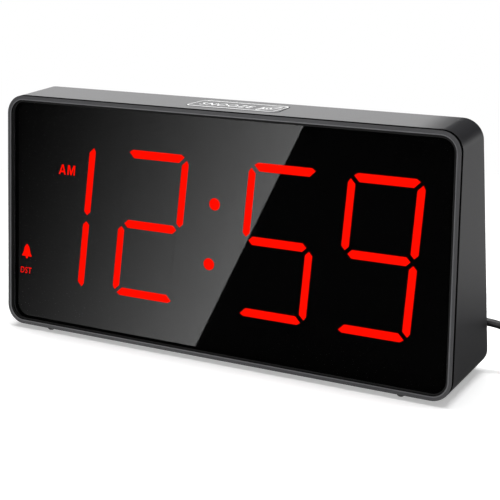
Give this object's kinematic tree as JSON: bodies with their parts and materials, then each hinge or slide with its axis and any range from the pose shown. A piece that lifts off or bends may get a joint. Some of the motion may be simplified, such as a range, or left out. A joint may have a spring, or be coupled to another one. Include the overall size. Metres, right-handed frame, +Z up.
{
  "type": "large-digit alarm clock",
  "caption": "Wide desk alarm clock with a large red segment display behind a dark glossy face, a snooze key in the top, keys and a battery well on the back, and a mains lead.",
  "frame": {"origin": "on the table, under the middle of the case", "axes": "the face looks along -Y, +X is to the right seen from the front, +Z is up"},
  "size_m": [0.3538, 0.0637, 0.1144],
  "materials": {
    "case_plastic": "fine moulded texture",
    "bezel_plastic": "fine moulded texture",
    "key_plastic": "satin",
    "smoked_lens": "polished",
    "black_film": "matte",
    "black_plastic": "matte",
    "lit_red": "glowing",
    "dark_red": "unlit",
    "indicator_film": "printed",
    "circuit_board": "green solder mask",
    "steel": "zinc plated",
    "nickel": "nickel plated",
    "chip_body": "moulded",
    "switch_body": "moulded",
    "rubber": "matte",
    "cell_jacket": "printed sleeve",
    "speaker_paper": "pressed paper",
    "magnet": "ground",
    "lead_jacket": "satin",
    "adapter_plastic": "fine moulded texture",
    "brass": "bright",
    "wire_jacket": "satin",
    "white_print": "pad-printed ink"
  },
  "bodies": {
    "clock": {"front_bezel": "bezel_plastic", "display_lens": "smoked_lens", "segment_mask": "black_film", "display_block": "black_plastic", "digit_1_segments": "lit_red", "digit_2_segments": "lit_red", "digit_3_segments": "lit_red", "digit_4_segments": "lit_red", "unlit_segments": "dark_red", "colon_dots": "lit_red", "indicator_windows": "indicator_film", "light_chips": "chip_body", "display_board": "circuit_board", "display_board_screws": "steel", "rear_case": "case_plastic", "rubber_feet": "rubber", "case_screws": "steel", "snooze_switch": "switch_body", "snooze_board": "circuit_board", "snooze_board_screws": "steel", "control_board": "circuit_board", "control_board_screws": "steel", "key_switches": "switch_body", "clock_chip": "switch_body", "quartz_crystal": "nickel", "alarm_switch_body": "nickel", "dimmer_control": "switch_body", "backup_cell_1": "cell_jacket", "backup_cell_2": "cell_jacket", "battery_contacts": "nickel", "speaker_frame": "steel", "speaker_cone": "speaker_paper", "speaker_magnet": "magnet", "ribbon_cable": "wire_jacket", "hook_up_wires": "wire_jacket", "dc_jack": "black_plastic", "dc_jack_pin": "nickel", "plug_barrel": "nickel", "plug_body": "lead_jacket", "plug_relief": "lead_jacket", "power_lead": "lead_jacket", "lead_coil": "lead_jacket", "coil_tie": "black_plastic", "lead_end": "lead_jacket", "adapter_relief": "lead_jacket", "adapter_body": "adapter_plastic", "adapter_blades": "brass"},
    "snooze": {"snooze_key": "key_plastic"},
    "alarm_knob": {"alarm_switch_knob": "key_plastic"},
    "dimmer": {"dimmer_wheel": "key_plastic"},
    "door": {"battery_door": "case_plastic"},
    "time_button": {"time_key": "key_plastic"},
    "alarm_button": {"alarm_key": "key_plastic"},
    "hour_button": {"hour_key": "key_plastic"},
    "minute_button": {"minute_key": "key_plastic"},
    "format_button": {"format_key": "key_plastic"},
    "summer_time_button": {"summer_time_key": "key_plastic"}
  },
  "joints": [
    {"name": "snooze_press", "type": "slide", "parent": "clock", "child": "snooze", "axis": [0, 0.0523, -0.9986], "range_m": [0, 0.001], "stiffness_N_per_m": 1200, "springref_m": -0.0003},
    {"name": "time_press", "type": "slide", "parent": "clock", "child": "time_button", "axis": [0, -0.9887, -0.1496], "range_m": [0, 0.0008], "stiffness_N_per_m": 1000, "springref_m": -0.0002},
    {"name": "alarm_press", "type": "slide", "parent": "clock", "child": "alarm_button", "axis": [0, -0.9887, -0.1496], "range_m": [0, 0.0008], "stiffness_N_per_m": 1000, "springref_m": -0.0002},
    {"name": "hour_press", "type": "slide", "parent": "clock", "child": "hour_button", "axis": [0, -0.9887, -0.1496], "range_m": [0, 0.0008], "stiffness_N_per_m": 1000, "springref_m": -0.0002},
    {"name": "minute_press", "type": "slide", "parent": "clock", "child": "minute_button", "axis": [0, -0.9887, -0.1496], "range_m": [0, 0.0008], "stiffness_N_per_m": 1000, "springref_m": -0.0002},
    {"name": "format_press", "type": "slide", "parent": "clock", "child": "format_button", "axis": [0, -0.9887, -0.1496], "range_m": [0, 0.0008], "stiffness_N_per_m": 1000, "springref_m": -0.0002},
    {"name": "summer_time_press", "type": "slide", "parent": "clock", "child": "summer_time_button", "axis": [0, -0.9887, -0.1496], "range_m": [0, 0.0008], "stiffness_N_per_m": 1000, "springref_m": -0.0002},
    {"name": "alarm_switch_slide", "type": "slide", "parent": "clock", "child": "alarm_knob", "axis": [-1, 0, 0], "range_m": [0, 0.004]},
    {"name": "dimmer_turn", "type": "hinge", "parent": "clock", "child": "dimmer", "pos_m": [0.06, 0.0062, 0.08414], "axis": [1, 0, 0], "range_deg": [0, 270]},
    {"name": "battery_door_swing", "type": "hinge", "parent": "clock", "child": "door", "pos_m": [-0.006, 0.01966, 0.02797], "axis": [-1, 0, 0], "range_deg": [0, 95]}
  ]
}
